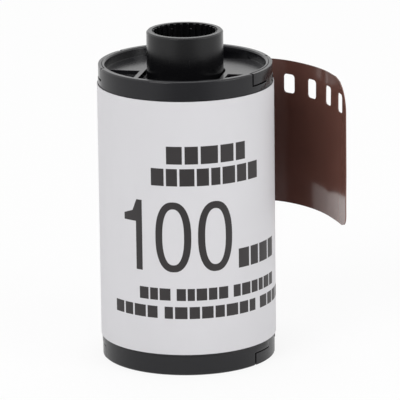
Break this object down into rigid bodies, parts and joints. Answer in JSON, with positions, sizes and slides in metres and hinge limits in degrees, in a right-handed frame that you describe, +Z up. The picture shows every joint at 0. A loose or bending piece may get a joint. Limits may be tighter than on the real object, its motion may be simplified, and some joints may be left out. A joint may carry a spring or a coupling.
{
  "type": "35mm film cartridge",
  "caption": "Cylindrical film cartridge with a toothed hub standing out of one end, pressed-on end caps, a plain label and a curled perforated film leader.",
  "frame": {"origin": "on the spool's axis, at the plane of the lower rim face, where the driving fork enters", "axes": "+Z up along the spool towards the long hub; the camera of the picture looks along +Y, with +X to its right, where the film leader stands out"},
  "size_m": [0.0353, 0.0296, 0.0471],
  "materials": {
    "cap_plastic": "satin moulded plastic",
    "shell_plastic": "fine moulded texture",
    "spool_plastic": "smooth moulded plastic",
    "label_paper": "coated paper, satin",
    "plush": "short pile",
    "film": "glossy film base",
    "tape": "adhesive tape"
  },
  "bodies": {
    "cartridge": {"top_cap": "cap_plastic", "bottom_cap": "cap_plastic", "shell": "shell_plastic", "label": "label_paper", "plush_outer": "plush", "plush_inner": "plush"},
    "spool": {"spool": "spool_plastic", "film_roll": "film", "tail_tape": "tape"},
    "leader": {"film_leader": "film"}
  },
  "joints": [
    {"name": "spool_spin", "type": "hinge", "parent": "cartridge", "child": "spool", "pos_m": [0, 0, 0], "axis": [0, 0, 1], "continuous": true},
    {"name": "leader_draw", "type": "slide", "parent": "cartridge", "child": "leader", "axis": [0.8434, 0.5373, 0], "range_m": [0, 0.006]}
  ]
}
